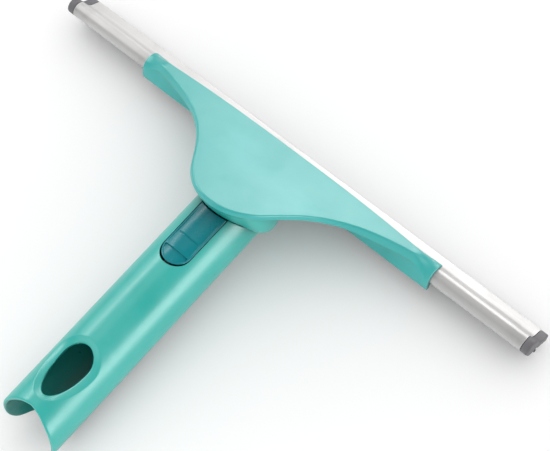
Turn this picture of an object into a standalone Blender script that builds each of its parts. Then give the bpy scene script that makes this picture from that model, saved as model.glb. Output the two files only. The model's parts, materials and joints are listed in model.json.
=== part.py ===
"""Window cleaning squeegee with a pull-off tube handle.

A mint plastic head carries an aluminium rail with a rubber blade. The head
plate lies 32 degrees below the handle's line. A hollow spigot on the head goes
into the handle tube, and a rocking button on the spigot holds the tube on.

World frame: the squeegee lies on a table (Z = 0) on its rubber edge and on the
open end of the handle. X runs along the rail, Y from the handle to the blade.
"""
import math

import bmesh
import bpy
from mathutils import Matrix, Vector

MM = 0.001

# ---------------------------------------------------------------- dimensions
# Everything is in millimetres and degrees. Two working frames are used:
#   handle frame: Y along the handle tube's axis towards the head, Z up
#   head frame:   x along the rail, s (local Y) down the head plate towards the
#                 blade, n (local Z) square to the plate, plate top at n = 0
ORIGIN_Y = 48.437            # handle frame origin in the world
HEAD_ANGLE = 32.0          # plate below the handle's line
HEAD_HEIGHT = 18.0         # plate plane above the tube axis at Y = 0
GAP = 0.3                  # clearance between touching pieces

# rail, an aluminium extrusion
RAIL_LENGTH = 280.0
BEAD_S, BEAD_N = 41.2, -9.3     # centre of the round bead
BEAD_R, BEAD_BORE = 4.1, 2.7
FLANGE_TOP, FLANGE_BOTTOM = -10.2, -13.6
FLANGE_NEAR, FLANGE_FAR = 48.4, 56.6
MOUTH_LOW, MOUTH_HIGH = 292.0, 348.0   # angles of the slot that the rubber leaves by

# rubber blade
LIP_ANGLE = -42.0
BULB_R = 2.4
NECK = 0.9                 # half thickness of the neck
TIP = 0.75                 # half thickness at the wiping edge
LIP_REACH = 17.0           # from the bulb's centre
LIP_OVERHANG = 2.8         # lip past each end of the rail

# end caps
CAP_LENGTH = 4.0
CAP_PLUG = 8.0

# head plate
ROUND_R = 21.8             # round end of the plate
ROUND_S = 3.6
ROUND_LEAVE = -48.0        # angle where the round end passes into the flank
FRONT_S = 41.5             # front edge at the middle
FRONT_BOW = 3.6            # how far it falls back towards the tips
EDGE = 0.9                 # rounding of the rear edge
RIM, RIM_TIP = 2.5, 4.6    # rear wall's height at the neck and near the tips
TOP, WALL = 2.0, 1.9       # top wall and rear wall
TIP_X, CLIP_X = 77.0, 89.5 # where the tip starts to close round the rail, and its end
CLIP_R = 5.9               # rail holder's outer radius at its ends
SCREW_X, SCREW_S = 16.0, 28.2

# neck
BOWL_REAR, BOWL_SIDE, BOWL_FRONT = 22.4, 22.8, 17.5

# handle tube
TUBE_R, TUBE_BORE = 16.1, 14.2
SEAM_Y = -16.5             # head end of the tube on its top side
SEAM_SLOPE = 0.646         # the head end is cut square to this slope
# open end: (angle from the top, Y), the same on both sides; notched on top, cut deeper below
MOUTH = [(0, -133.0), (20, -134.1), (40, -136.1), (60, -138.0), (80, -139.8), (100, -141.2), (112, -141.4),
         (122, -140.6), (130, -139.0), (136, -136.6), (141, -134.0), (147, -131.6), (155, -130.1), (165, -129.5),
         (180, -129.3)]
HOLE_Y, HOLE_W, HOLE_UP, HOLE_DOWN = -107.0, 9.0, 9.4, 18.9

# spigot
SPIGOT_R, SPIGOT_BORE, SPIGOT_END = 13.9, 11.4, -78.0
SLOT_W = 8.0

# button and latch
BTN_W = 7.55
BTN_ROUND_Y = -39.6
BTN_UNDER = 11.2
PIVOT_Y, PIVOT_Z = -21.0, 9.5
PIN_R, PIN_HALF = 1.0, 9.1
CATCH_Y0, CATCH_Y1 = -53.6, -50.2

SEG = 56                   # facets round the tube


# ------------------------------------------------------------------ helpers
for old in list(bpy.data.objects):
    bpy.data.objects.remove(old, do_unlink=True)

scene = bpy.context.scene


def material(name, colour, roughness, metallic=0.0):
    m = bpy.data.materials.new(name)
    m.use_nodes = True
    bsdf = m.node_tree.nodes["Principled BSDF"]
    bsdf.inputs["Base Color"].default_value = (*colour, 1.0)
    bsdf.inputs["Roughness"].default_value = roughness
    bsdf.inputs["Metallic"].default_value = metallic
    return m


def empty(name, parent=None, location=(0, 0, 0), rx=0.0):
    e = bpy.data.objects.new(name, None)
    scene.collection.objects.link(e)
    e.parent = parent
    e.location = Vector(location) * MM
    e.rotation_euler = (math.radians(rx), 0, 0)
    return e


def mesh_object(name, verts, faces, parent=None, mat=None, location=(0, 0, 0)):
    """verts in millimetres, given in the parent's frame; location moves the origin only."""
    off = Vector(location)
    me = bpy.data.meshes.new(name)
    me.from_pydata([(Vector(v) - off) * MM for v in verts], [], faces)
    bm = bmesh.new()
    bm.from_mesh(me)
    bmesh.ops.recalc_face_normals(bm, faces=bm.faces)
    bm.to_mesh(me)
    bm.free()
    o = bpy.data.objects.new(name, me)
    scene.collection.objects.link(o)
    o.parent = parent
    o.location = off * MM
    if mat:
        me.materials.append(mat)
    return o


def loft(rings, closed=False):
    """Verts and faces of a solid through rings of equal length; ends are capped unless closed."""
    k = len(rings[0])
    verts = [p for ring in rings for p in ring]
    faces = []
    n = len(rings)
    for i in range(n if closed else n - 1):
        a, b = i * k, ((i + 1) % n) * k
        for j in range(k):
            faces.append((a + j, a + (j + 1) % k, b + (j + 1) % k, b + j))
    if not closed:
        faces.append(tuple(range(k))[::-1])
        faces.append(tuple(range((n - 1) * k, n * k)))
    return verts, faces


def prism(outline, lo, hi, axis):
    """outline: 2D points. axis 'x' takes (s, n) points, axis 'z' takes (x, y) points."""
    if axis == "x":
        return loft([[(v, p[0], p[1]) for p in outline] for v in (lo, hi)])
    return loft([[(p[0], p[1], v) for p in outline] for v in (lo, hi)])


def tube_between(r, y0, y1, seg=SEG, cx=0.0, cz=0.0):
    rings = []
    for y in (y0, y1):
        rings.append([(cx + r * math.sin(a), y, cz + r * math.cos(a))
                      for a in (2 * math.pi * i / seg for i in range(seg))])
    return loft(rings)


def rod_z(cx, cy, r, z0, z1, seg=24):
    return loft([[(cx + r * math.cos(a), cy + r * math.sin(a), z)
                  for a in (2 * math.pi * i / seg for i in range(seg))] for z in (z0, z1)])


def rod_x(cy, cz, r, x0, x1, seg=20):
    return loft([[(x, cy + r * math.cos(a), cz + r * math.sin(a))
                  for a in (2 * math.pi * i / seg for i in range(seg))] for x in (x0, x1)])


def block(x0, x1, y0, y1, z0, z1):
    return loft([[(x0, y0, z), (x1, y0, z), (x1, y1, z), (x0, y1, z)] for z in (z0, z1)])


def combine(target, shape, how, parent=None):
    """Boolean with a helper solid given in `parent`'s frame (default: the target's parent)."""
    helper = mesh_object("helper", *shape, parent=parent or target.parent)
    helper.hide_render = True
    helper.display_type = "WIRE"
    bpy.context.view_layer.update()
    mod = target.modifiers.new("shape", "BOOLEAN")
    mod.operation = how
    mod.solver = "EXACT"
    mod.object = helper
    dg = bpy.context.evaluated_depsgraph_get()
    result = bpy.data.meshes.new_from_object(target.evaluated_get(dg))
    target.modifiers.remove(mod)
    old = target.data
    target.data = result
    result.name = old.name
    bpy.data.meshes.remove(old)
    data = helper.data
    bpy.data.objects.remove(helper, do_unlink=True)
    bpy.data.meshes.remove(data)
    bm = bmesh.new()
    bm.from_mesh(target.data)
    bmesh.ops.remove_doubles(bm, verts=bm.verts, dist=2e-6)
    bmesh.ops.dissolve_degenerate(bm, edges=bm.edges, dist=1e-6)
    bm.to_mesh(target.data)
    bm.free()


def finish(o, angle=32.0):
    o.data.shade_smooth()
    o.data.set_sharp_from_angle(angle=math.radians(angle))


def polar(c, r, deg):
    return (c[0] + r * math.cos(math.radians(deg)), c[1] + r * math.sin(math.radians(deg)))


def arc(c, r, a0, a1, steps):
    return [polar(c, r, a0 + (a1 - a0) * i / steps) for i in range(steps + 1)]


def bezier(p0, p1, p2, steps):
    return [tuple((1 - t) ** 2 * a + 2 * t * (1 - t) * b + t * t * c
                  for a, b, c in zip(p0, p1, p2)) for t in (i / steps for i in range(1, steps))]


# ------------------------------------------------------------------- frames
# the tool rests on the handle's open end and on the lower corner of the rubber edge
lip_c, lip_s = math.cos(math.radians(LIP_ANGLE)), math.sin(math.radians(LIP_ANGLE))
edge_s = BEAD_S + lip_c * LIP_REACH + lip_s * TIP
edge_n = BEAD_N + lip_s * LIP_REACH - lip_c * TIP
head_c, head_s = math.cos(math.radians(HEAD_ANGLE)), math.sin(math.radians(HEAD_ANGLE))
edge_y = edge_s * head_c + edge_n * head_s
edge_z = HEAD_HEIGHT - edge_s * head_s + edge_n * head_c
REST_TILT = math.degrees(math.atan2(-TUBE_R - edge_z, edge_y - MOUTH[-1][1]))
ORIGIN_Z = -(MOUTH[-1][1] * math.sin(math.radians(REST_TILT)) - TUBE_R * math.cos(math.radians(REST_TILT)))

squeegee = empty("squeegee", location=(0, ORIGIN_Y, ORIGIN_Z), rx=REST_TILT)
handle_axis = empty("handle_axis", squeegee)
head_plane = empty("head_plane", squeegee, (0, 0, HEAD_HEIGHT), -HEAD_ANGLE)

# ---------------------------------------------------------------- materials
MINT = material("mint_plastic", (0.33, 0.66, 0.62), 0.42)
GREEN = material("turquoise_plastic", (0.13, 0.52, 0.47), 0.38)
PETROL = material("petrol_plastic", (0.02, 0.16, 0.20), 0.35)
ALU = material("satin_aluminium", (0.86, 0.86, 0.87), 0.34, 1.0)
RUBBER = material("black_rubber", (0.015, 0.015, 0.014), 0.6)
GREY = material("grey_plastic", (0.16, 0.155, 0.165), 0.5)
STEEL = material("spring_steel", (0.55, 0.55, 0.56), 0.3, 1.0)

# --------------------------------------------------------------------- rail
B = (BEAD_S, BEAD_N)


def rail_top():
    """Top side of the extrusion: flat flange, hollow sweep, round bead, lower jaw."""
    edge = 0.5
    pts = arc((FLANGE_FAR - edge, FLANGE_BOTTOM + edge), edge, -90, 0, 2)
    pts += arc((FLANGE_FAR - edge, FLANGE_TOP - edge), edge, 0, 90, 3)
    start = polar(B, BEAD_R, 45)
    knee = (start[0] + (start[1] - FLANGE_TOP), FLANGE_TOP)   # 45 degree tangent meets the flange
    pts += [(51.0, FLANGE_TOP)] + bezier((51.0, FLANGE_TOP), knee, start, 5)
    pts += arc(B, BEAD_R, 45, MOUTH_LOW, 20)
    return pts


section = rail_top()
section += arc(B, BEAD_BORE, MOUTH_LOW, MOUTH_HIGH - 360, 16)
section += [(47.1, -12.0), (FLANGE_NEAR, FLANGE_BOTTOM)]
rail = mesh_object("aluminium_rail", *prism(section, -RAIL_LENGTH / 2, RAIL_LENGTH / 2, "x"),
                   parent=head_plane, mat=ALU)
HOLLOW = (49.3, 55.6, -12.8, -11.1)
combine(rail, block(-RAIL_LENGTH, RAIL_LENGTH, HOLLOW[0], HOLLOW[1], HOLLOW[2], HOLLOW[3]), "DIFFERENCE")
finish(rail)

# ------------------------------------------------------------- rubber blade
d = (math.cos(math.radians(LIP_ANGLE)), math.sin(math.radians(LIP_ANGLE)))
q = (-d[1], d[0])


def lip(t, w):
    return (B[0] + d[0] * t + q[0] * w, B[1] + d[1] * t + q[1] * w)


a_neck = math.degrees(math.asin(NECK / BULB_R))
blade_section = arc(B, BULB_R, LIP_ANGLE + a_neck, LIP_ANGLE + 360 - a_neck, 18)
blade_section += [lip(6.0, -NECK), lip(11.0, -0.95), lip(LIP_REACH, -TIP),
                  lip(LIP_REACH, TIP), lip(11.0, 0.95), lip(6.0, NECK)]
blade = mesh_object("rubber_blade",
                    *prism(blade_section, -RAIL_LENGTH / 2 + GAP, RAIL_LENGTH / 2 - GAP, "x"),
                    parent=head_plane, mat=RUBBER)
lip_section = [lip(7.2, -0.9), lip(11.0, -0.95), lip(LIP_REACH, -TIP), lip(LIP_REACH, TIP),
               lip(11.0, 0.95), lip(7.2, 0.9)]
X_LIP = RAIL_LENGTH / 2 + LIP_OVERHANG
combine(blade, prism(lip_section, -X_LIP, X_LIP, "x"), "UNION")
finish(blade)

# ----------------------------------------------------------------- end caps
cap_section = rail_top()
cap_section += [(45.2, -11.9), (47.1, -12.1), (FLANGE_NEAR, FLANGE_BOTTOM)]
cap_section = [(BEAD_S + (p[0] - BEAD_S) * 0.985, p[1]) for p in cap_section]
for side, name in ((-1, "end_cap_left"), (1, "end_cap_right")):
    x0 = side * (RAIL_LENGTH / 2 + GAP)
    x1 = x0 + side * CAP_LENGTH
    rings = []
    for x, shrink in ((x0, 0.0), (x1 - side * 0.8, 0.0), (x1, 0.55)):
        cx, cn = 47.5, -10.6
        ring = []
        for p in cap_section:
            v = Vector((p[0] - cx, p[1] - cn))
            v *= max(0.0, 1 - shrink / max(v.length, 1.0))
            ring.append((x, cx + v.x, cn + v.y))
        rings.append(ring)
    cap = mesh_object(name, *loft(rings), parent=head_plane, mat=GREY,
                      location=(side * RAIL_LENGTH / 2, BEAD_S, BEAD_N))
    px = sorted((x0 + side * 0.5, side * (RAIL_LENGTH / 2 - CAP_PLUG)))
    combine(cap, block(px[0], px[1], HOLLOW[0] + GAP, HOLLOW[1] - GAP, HOLLOW[2] + GAP, HOLLOW[3] - GAP),
            "UNION")
    finish(cap)

# -------------------------------------------------------------- head outline
# rear edge of the plate's flat top, right half, after the round end
FLANK = [(16.9, -10.6), (19.3, -8.0), (21.5, -5.0), (23.5, -1.9), (25.5, 1.1), (28.9, 6.1), (32.4, 10.6), (36.4, 15.0), (40.5, 18.7),
         (45.3, 22.3), (49.5, 25.0), (54.5, 27.7), (58.7, 29.5), (63.0, 31.1), (68.4, 32.8),
         (72.5, 33.9), (76.5, 34.8), (80.5, 35.5), (85.0, 36.0), (CLIP_X + 2, 36.4)]


def smooth_line(points, per):
    """Catmull-Rom line through the points."""
    out = []
    for i in range(len(points) - 1):
        p0 = Vector(points[max(i - 1, 0)])
        p1, p2 = Vector(points[i]), Vector(points[i + 1])
        p3 = Vector(points[min(i + 2, len(points) - 1)])
        for k in range(per):
            t = k / per
            out.append(tuple(0.5 * (2 * p1 + (p2 - p0) * t + (2 * p0 - 5 * p1 + 4 * p2 - p3) * t * t
                                    + (3 * p1 - p0 - 3 * p2 + p3) * t ** 3)))
    out.append(tuple(points[-1]))
    return out


def rear_line():
    """Rear edge from the middle of the round end to the right tip."""
    arc_part = arc((0, ROUND_S), ROUND_R, -90, ROUND_LEAVE, 14)
    return arc_part + smooth_line([arc_part[-1]] + FLANK, 3)[1:]


REAR = rear_line()
REAR_CACHE = {}


def rear(x, dist=0.0):
    """s of the plate's rear edge at x, with the edge moved outwards by dist."""
    if dist not in REAR_CACHE:
        line = []
        for i, p in enumerate(REAR):
            q0, q1 = Vector(REAR[max(i - 1, 0)]), Vector(REAR[min(i + 1, len(REAR) - 1)])
            t = (q1 - q0).normalized() if i else Vector((1, 0))
            line.append((p[0] + t.y * dist, p[1] - t.x * dist))
        REAR_CACHE[dist] = line
    line = REAR_CACHE[dist]
    x = abs(x)
    for (x0, s0), (x1, s1) in zip(line, line[1:]):
        if x <= x1:
            return s0 + (s1 - s0) * (x - x0) / max(x1 - x0, 1e-9)
    return line[-1][1]


def front(x):
    """Front edge of the plate, bowed towards the blade."""
    return FRONT_S - FRONT_BOW * (abs(x) / 84.0) ** 2.6


def ease(a, b, x):
    t = min(max((x - a) / (b - a), 0.0), 1.0)
    return t * t * (3 - 2 * t)


def rim_depth(x):
    """Height of the plate's rear wall; it grows towards the tips."""
    return RIM + (RIM_TIP - RIM) * ease(34.0, 66.0, abs(x))


LOWER = (37.3, -15.9)      # lower back edge of the rail holder


def plate_section(x, fine=1):
    """Closed (s, n) outline of the plate and its rail holder at x."""
    ax = abs(x)
    w = ease(TIP_X, CLIP_X, ax)
    n_round, n_leaf, n_in = 4 * fine, 6 * fine, 14 * fine
    f = front(x)
    lip_in = polar(B, BEAD_R + GAP, 52)
    pts = [lip_in]
    ends = [lip_in]
    pts += [(44.5, -4.9), (f + 0.5, -0.5), (f, 0.0)]
    ends += [polar(B, CLIP_R, a) for a in (52, 78, 92)]
    for i in range(n_round + 1):
        a = math.pi / 2 * i / n_round
        pts.append((rear(x, round(EDGE * math.sin(a), 4)), -EDGE * (1 - math.cos(a))))
        ends.append(polar(B, CLIP_R, 108 + 44 * i / n_round))
    depth = rim_depth(x)
    foot = (rear(x, EDGE), -depth)
    pts.append(foot)
    ends.append(polar(B, CLIP_R, 176))
    mid = Vector(((foot[0] + LOWER[0]) / 2, (foot[1] + LOWER[1]) / 2))
    chord = (Vector(LOWER) - Vector(foot)).normalized()
    sag = max(0.0, min(2.4, (mid - Vector(B)).length - BEAD_R - GAP - 0.85))
    leaf = mid + 2 * sag * Vector((-chord.y, chord.x))
    corner = Vector((35.4, -depth - 0.3))
    k = ease(38.0, 52.0, ax)
    ctrl = corner.lerp(leaf, k)
    end_foot, end_ctrl = polar(B, CLIP_R, 176), polar(B, CLIP_R + 0.35, 196)
    pts += bezier(foot, tuple(ctrl), LOWER, n_leaf)
    ends += bezier(end_foot, end_ctrl, LOWER, n_leaf)
    for p in (LOWER, (38.1, -16.7), (39.9, -16.3)):
        pts.append(p)
        ends.append(p)
    for i in range(n_in):
        p = polar(B, BEAD_R + GAP, 252 - (252 - 52) * i / n_in)
        pts.append(p)
        ends.append(p)
    return [((1 - w) * p[0] + w * e[0], (1 - w) * p[1] + w * e[1]) for p, e in zip(pts, ends)]


def plate_stations():
    right = [0, 3, 6, 9, 11.5, 13.5, 15.5, 17.2, 18.6, 20, 21.5, 23, 25, 27, 29, 31.5, 34, 37, 40,
             43, 46, 50, 54, 58, 62, 66, 70, 74, TIP_X, 79.5, 82, 84.5, 87, CLIP_X]
    return [-x for x in right[:0:-1]] + right


def rear_outline(dist, x_end, front_s):
    """Closed (x, s) outline that follows the rear edge moved outwards by dist."""
    xs = [x for x in plate_stations() if abs(x) < x_end]
    xs = [-x_end] + xs + [x_end]
    return [(x, rear(x, dist)) for x in xs] + [(x_end, front_s), (-x_end, front_s)]


def plate(ring, lo, hi):
    return loft([[(x, y, z) for x, y in ring] for z in (lo, hi)])


# --------------------------------------------------------------- head plate
rings = [[(x, p[0], p[1]) for p in plate_section(x)] for x in plate_stations()]
cover = mesh_object("head_plate", *loft(rings), parent=head_plane, mat=MINT)
combine(cover, plate(rear_outline(EDGE - WALL, 43.0, 34.4), -30.0, -TOP), "DIFFERENCE")
for sx in (-1, 1):
    combine(cover, rod_z(sx * SCREW_X, SCREW_S, 2.8, -8.6, -TOP + 0.5), "UNION")
    combine(cover, rod_z(sx * SCREW_X, SCREW_S, 1.6, -9.5, -3.0, 16), "DIFFERENCE")
finish(cover)

# --------------------------------------------------------------- neck spigot
def seam_y(z):
    """Slanted cut at the head end of the handle tube."""
    return SEAM_Y + SEAM_SLOPE * (TUBE_R - z)


def to_head(x, y, z):
    a = math.radians(HEAD_ANGLE)
    z -= HEAD_HEIGHT
    return Vector((x, y * math.cos(a) - z * math.sin(a), y * math.sin(a) + z * math.cos(a)))


def bowl_ring(f):
    """Top ring of the neck's bowl; f = 0 points to the handle."""
    deg = abs(math.degrees(f))
    deg = min(deg, 360 - deg)
    r = BOWL_REAR + (BOWL_SIDE - BOWL_REAR) * ease(40, 84, deg) - (BOWL_SIDE - BOWL_FRONT) * ease(96, 160, deg)
    return r * math.sin(f), ROUND_S - r * math.cos(f)


BOWL_TOP = -RIM - GAP
STEPS = 8
bowl = []
for k in range(STEPS + 1):
    a = math.pi / 2 * k / STEPS
    ring = []
    for i in range(SEG):
        f = 2 * math.pi * i / SEG
        x, y = bowl_ring(f)
        foot = to_head(TUBE_R * math.sin(f), seam_y(TUBE_R * math.cos(f)) + GAP, TUBE_R * math.cos(f))
        deg = min(abs(math.degrees(f)), 360 - abs(math.degrees(f)))
        power = 2 / (1.05 + 1.95 * ease(45, 85, deg))   # a cone at the rear, a full cheek at the sides
        side, drop = 1 - math.cos(a) ** power, math.sin(a) ** power
        ring.append((x + (foot.x - x) * side, y + (foot.y - y) * side,
                     BOWL_TOP + (foot.z - BOWL_TOP) * drop))
    bowl.append(ring)
frame = mesh_object("neck_spigot", *loft(bowl), parent=head_plane, mat=GREEN)

# tongue that lies under the plate and takes the screws
combine(frame, block(-22.5, 22.5, 0.0, 33.8, -4.9, -TOP - GAP), "UNION")
for sx in (-1, 1):
    combine(frame, rod_z(sx * SCREW_X, SCREW_S, 4.6, -8.6, -4.0), "UNION")
    combine(frame, rod_z(sx * SCREW_X, SCREW_S, 3.1, -9.5, 0.0), "DIFFERENCE")
    combine(frame, block(sx * 9 - 0.8, sx * 9 + 0.8, 14.0, 33.4, -8.4, -4.5), "UNION")
    combine(frame, block(sx * 21.6 - 0.8, sx * 21.6 + 0.8, 6.0, 33.4, -7.0, -4.5), "UNION")

# hollow spigot that the handle tube slides on to
combine(frame, tube_between(SPIGOT_R, SPIGOT_END, -1.0), "UNION", parent=handle_axis)
combine(frame, tube_between(SPIGOT_BORE, SPIGOT_END - 3, -9.0, 40), "DIFFERENCE", parent=handle_axis)
slot_side = [(CATCH_Y0 - 1.2, 3.0), (seam_y(3.0) + 0.2, 3.0), (seam_y(20.0) + 0.2, 20.0), (CATCH_Y0 - 1.2, 20.0)]
combine(frame, prism(slot_side, -SLOT_W, SLOT_W, "x"), "DIFFERENCE", parent=handle_axis)
combine(frame, rod_x(PIVOT_Y, PIVOT_Z, PIN_R + GAP, -30, 30, 20), "DIFFERENCE", parent=handle_axis)
finish(frame)

# -------------------------------------------------------------- neck screws
for sx, name in ((-1, "neck_screw_left"), (1, "neck_screw_right")):
    rings = []
    profile = [(1.2, -11.0), (3.3, -10.7), (3.9, -9.9), (3.9, -8.9), (1.3, -8.9), (1.3, -4.4), (0.7, -3.7)]
    for r, z in profile:
        rings.append([(sx * SCREW_X + r * math.cos(a), SCREW_S + r * math.sin(a), z)
                      for a in (2 * math.pi * i / 20 for i in range(20))])
    screw = mesh_object(name, *loft(rings), parent=head_plane, mat=STEEL,
                        location=(sx * SCREW_X, SCREW_S, -8.9))
    for turn in (0, 1):
        w, h = ((2.2, 0.45), (0.45, 2.2))[turn]
        combine(screw, block(sx * SCREW_X - w, sx * SCREW_X + w, SCREW_S - h, SCREW_S + h, -12, -9.7),
                "DIFFERENCE")
    finish(screw)

# -------------------------------------------------------------- handle tube
MOUTH_LINE = smooth_line(MOUTH, 4)


def mouth_y(angle):
    a = abs(math.degrees(angle)) % 360
    a = min(a, 360 - a)
    for (a0, y0), (a1, y1) in zip(MOUTH_LINE, MOUTH_LINE[1:]):
        if a <= a1:
            return y0 + (y1 - y0) * (a - a0) / (a1 - a0)
    return MOUTH_LINE[-1][1]


rows = 3
outer, inner = [], []
for j in range(rows + 1):
    ro, ri = [], []
    for i in range(SEG):
        f = 2 * math.pi * i / SEG
        for r, dest in ((TUBE_R, ro), (TUBE_BORE, ri)):
            z = r * math.cos(f)
            y0, y1 = seam_y(z), mouth_y(f)
            dest.append((r * math.sin(f), y0 + (y1 - y0) * j / rows, z))
    outer.append(ro)
    inner.append(ri)
tube = mesh_object("handle_tube", *loft(outer + inner[::-1], closed=True), parent=handle_axis, mat=GREEN)

# slot that the button looks through, open at the head end
slot_w = BTN_W + 0.35
slot_outline = [(slot_w, 10), (-slot_w, 10)] + [
    (slot_w * math.cos(a), BTN_ROUND_Y - 0.6 + slot_w * math.sin(a))
    for a in (math.pi + math.pi * i / 16 for i in range(17))]
combine(tube, prism(slot_outline, 4.0, 25.0, "z"), "DIFFERENCE")
# egg-shaped hanging hole in the top wall
egg = []
for i in range(36):
    a = 2 * math.pi * i / 36
    egg.append((HOLE_W * math.cos(a), HOLE_Y + (HOLE_UP if math.sin(a) > 0 else HOLE_DOWN) * math.sin(a)))
combine(tube, prism(egg, 4.0, 25.0, "z"), "DIFFERENCE")
# blind pocket for the latch tooth in the bore
combine(tube, block(-3.6, 3.6, CATCH_Y0, CATCH_Y1, 10.0, 15.1), "DIFFERENCE")
finish(tube)

# ---------------------------------------------------------- release button
plan = [(BTN_W, SEAM_Y + 8), (-BTN_W, SEAM_Y + 8)] + [
    (BTN_W * math.cos(a), BTN_ROUND_Y + BTN_W * math.sin(a))
    for a in (math.pi + math.pi * i / 16 for i in range(17))]
button = mesh_object("release_button", *prism(plan, BTN_UNDER, 25.0, "z"), parent=handle_axis, mat=PETROL,
                     location=(0, PIVOT_Y, PIVOT_Z))
combine(button, tube_between(TUBE_R - 0.1, -60, 0, 72), "INTERSECT")
# slanted head end, parallel to the tube's end
z0, z1 = 0.0, 30.0
cut = []
for x in (-20, 20):
    cut.append([(x, seam_y(z0) - 0.7, z0), (x, seam_y(z0) + 60, z0), (x, seam_y(z1) + 60, z1),
                (x, seam_y(z1) - 0.7, z1)])
combine(button, loft(cut), "DIFFERENCE")
# shallow thumb scoop, and the step near the round end
combine(button, loft([[(x, -29.8 + 66 * math.sin(a), TUBE_R + 65.2 - 66 * math.cos(a))
                       for a in (math.radians(-17 + 34 * i / 12) for i in range(13))]
                      for x in (-12, 12)]), "DIFFERENCE")
combine(button, block(-5.6, 5.6, -45.2, -40.8, 15.0, 20), "DIFFERENCE")
# pivot boss
boss = [(PIVOT_Y + 2.4 * math.cos(a), PIVOT_Z + 2.4 * math.sin(a))
        for a in (math.pi + math.pi * i / 10 for i in range(11))]
boss += [(PIVOT_Y + 2.4, 12.2), (PIVOT_Y - 2.4, 12.2)]
combine(button, prism(boss, -7.4, 7.4, "x"), "UNION")
combine(button, rod_x(PIVOT_Y, PIVOT_Z, PIN_R + GAP, -20, 20, 20), "DIFFERENCE")
finish(button)

pin = mesh_object("button_pivot_pin", *rod_x(PIVOT_Y, PIVOT_Z, PIN_R, -PIN_HALF, PIN_HALF, 20),
                  parent=handle_axis, mat=STEEL, location=(0, PIVOT_Y, PIVOT_Z))
finish(pin)

# -------------------------------------------------------------- latch spring
# a bent strip: lower leg on the spigot's floor, round bend, upper leg under the
# button, and a tooth that stands up into the tube's pocket
strip = [(-54.0, -10.3), (-40.0, -10.2), (-27.0, -10.1)]
strip += [(-27.0 + 8.5 * math.sin(a), -1.6 - 8.5 * math.cos(a))
          for a in (math.radians(150 * i / 12) for i in range(1, 13))]
strip += [(-30.0, 7.6), (-38.0, 9.2), (-46.0, 10.2), (-51.0, 10.3), (-52.0, 10.9), (-52.0, 14.7)]
T = 0.35


def thick(points, t):
    left, right = [], []
    for i, p in enumerate(points):
        a = Vector(points[max(i - 1, 0)])
        b = Vector(points[min(i + 1, len(points) - 1)])
        v = (b - a).normalized()
        m = Vector((-v.y, v.x)) * t
        left.append(tuple(Vector(p) + m))
        right.append(tuple(Vector(p) - m))
    return left + right[::-1]


spring = mesh_object("latch_spring", *prism(thick(strip, T), -3.0, 3.0, "x"), parent=handle_axis, mat=STEEL)
finish(spring)
bpy.context.view_layer.update()
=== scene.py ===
import json
import math

import bmesh
import bpy
from mathutils import Matrix, Vector

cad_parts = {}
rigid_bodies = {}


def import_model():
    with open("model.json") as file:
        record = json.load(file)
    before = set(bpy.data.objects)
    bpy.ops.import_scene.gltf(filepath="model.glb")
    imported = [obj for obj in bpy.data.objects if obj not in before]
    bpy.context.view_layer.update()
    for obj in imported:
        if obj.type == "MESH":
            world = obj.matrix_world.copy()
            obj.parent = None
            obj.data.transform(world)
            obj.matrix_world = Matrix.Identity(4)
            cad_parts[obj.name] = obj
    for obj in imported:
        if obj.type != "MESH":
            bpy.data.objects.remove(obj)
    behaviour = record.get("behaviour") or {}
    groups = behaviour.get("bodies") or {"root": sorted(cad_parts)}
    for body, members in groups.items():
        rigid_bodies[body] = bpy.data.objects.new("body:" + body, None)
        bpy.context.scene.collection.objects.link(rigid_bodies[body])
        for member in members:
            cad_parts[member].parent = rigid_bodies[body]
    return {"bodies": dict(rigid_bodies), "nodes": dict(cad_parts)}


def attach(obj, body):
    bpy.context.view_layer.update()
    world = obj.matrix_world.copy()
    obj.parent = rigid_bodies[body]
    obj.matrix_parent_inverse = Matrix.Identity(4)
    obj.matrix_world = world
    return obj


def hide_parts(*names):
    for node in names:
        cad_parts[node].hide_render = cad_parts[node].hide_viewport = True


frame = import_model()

kept = set(frame["nodes"].values()) | set(frame["bodies"].values())
for o in [o for o in bpy.data.objects if o not in kept]:
    bpy.data.objects.remove(o, do_unlink=True)
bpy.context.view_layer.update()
MM = 0.001

# ---------------------------------------------------------------- dimensions
# the CAD part's own numbers, in millimetres and degrees, in its two working frames:
#   handle frame: Y along the handle tube's axis towards the head, Z up
#   head frame:   x along the rail, s down the plate towards the blade, n square to it
ORIGIN_Y, HEAD_ANGLE, HEAD_HEIGHT, GAP = 48.437, 32.0, 18.0, 0.3
RAIL_LENGTH = 280.0
B = (41.2, -9.3)
BEAD_R, BEAD_BORE = 4.1, 2.7
FLANGE_TOP, FLANGE_BOTTOM, FLANGE_NEAR, FLANGE_FAR = -10.2, -13.6, 48.4, 56.6
MOUTH_LOW, MOUTH_HIGH = 292.0, 348.0
LIP_ANGLE, BULB_R, NECK, TIP, LIP_REACH, LIP_OVERHANG = -42.0, 2.4, 0.9, 0.75, 17.0, 2.8
CAP_LENGTH, CAP_PLUG = 4.0, 8.0
ROUND_R, ROUND_S, ROUND_LEAVE = 21.8, 3.6, -48.0
FRONT_S, FRONT_BOW, EDGE = 41.5, 3.6, 0.9
RIM, RIM_TIP, TOP, WALL = 2.5, 4.6, 2.0, 1.9
TIP_X, CLIP_X, CLIP_R = 77.0, 89.5, 5.9
SCREW_X, SCREW_S = 16.0, 28.2
BOWL_REAR, BOWL_SIDE, BOWL_FRONT = 22.4, 22.8, 17.5
TUBE_R, TUBE_BORE, SEAM_Y, SEAM_SLOPE = 16.1, 14.2, -16.5, 0.646
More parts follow.
